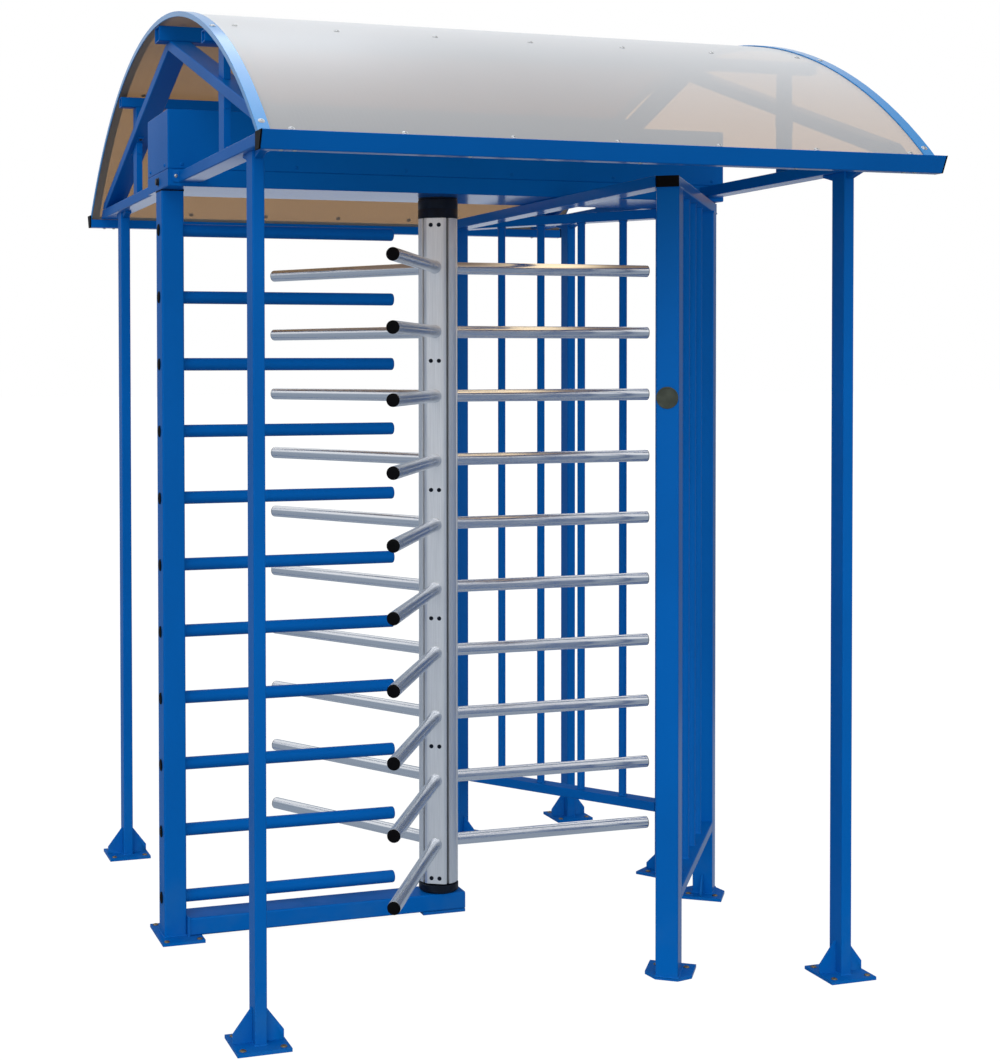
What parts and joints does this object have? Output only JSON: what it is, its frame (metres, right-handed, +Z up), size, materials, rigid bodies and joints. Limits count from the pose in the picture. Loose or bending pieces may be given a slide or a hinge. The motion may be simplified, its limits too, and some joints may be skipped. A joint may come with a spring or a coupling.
{
  "type": "full-height turnstile",
  "caption": "Full-height security turnstile: three-winged barred rotor in a blue steel frame with comb, curved screens and barrel roof.",
  "frame": {"origin": "on the rotor axis at floor level", "axes": "+X along the comb and the roof towards the screened end, +Y through the passage to the rear, +Z up along the rotor axis"},
  "size_m": [1.7673, 2.392, 2.5967],
  "materials": {
    "blue_paint": "satin blue powder coat",
    "black_plastic": "moulded black plugs",
    "black_metal": "satin black",
    "stainless": "polished stainless tube",
    "column_aluminium": "anodised extrusion",
    "shaft_steel": "turned steel",
    "badge_plastic": "bare round badge",
    "roof_sheet": "bronze multiwall polycarbonate"
  },
  "bodies": {
    "frame": {"stanchion": "blue_paint", "stanchion_base": "blue_paint", "comb_bars": "blue_paint", "comb_plugs": "blue_paint", "stanchion_plugs": "black_plastic", "base_beam": "blue_paint", "base_beam_foot": "blue_paint", "lower_bearing": "black_metal", "top_beam": "blue_paint", "housing_cover": "blue_paint", "front_outer_post": "blue_paint", "front_inner_post": "blue_paint", "rear_inner_post": "blue_paint", "rear_outer_post": "blue_paint", "front_screen_feet": "blue_paint", "rear_screen_feet": "blue_paint", "front_screen_rails": "blue_paint", "front_screen_bars": "blue_paint", "rear_screen_rails": "blue_paint", "rear_screen_bars": "blue_paint", "cross_beam": "blue_paint", "cross_beam_caps": "black_plastic", "badge": "badge_plastic", "front_roof_posts": "blue_paint", "rear_roof_posts": "blue_paint", "front_roof_feet": "blue_paint", "rear_roof_feet": "blue_paint", "post_brackets": "blue_paint", "roof_ties": "blue_paint", "left_truss": "blue_paint", "right_truss": "blue_paint", "ridge_purlin": "blue_paint", "mid_purlins": "blue_paint", "front_eave": "blue_paint", "rear_eave": "blue_paint", "eave_caps": "black_plastic", "roof_sheet": "roof_sheet", "roof_trims": "blue_paint"},
    "rotor": {"rotor_column": "column_aluminium", "rotor_shaft": "shaft_steel", "top_collar": "black_metal", "wing_right": "stainless", "wing_rear": "stainless", "wing_front": "stainless", "wing_plugs": "black_plastic"}
  },
  "joints": [
    {"name": "rotor_turn", "type": "hinge", "parent": "frame", "child": "rotor", "pos_m": [0, 0, 0], "axis": [0, 0, 1], "continuous": true}
  ]
}
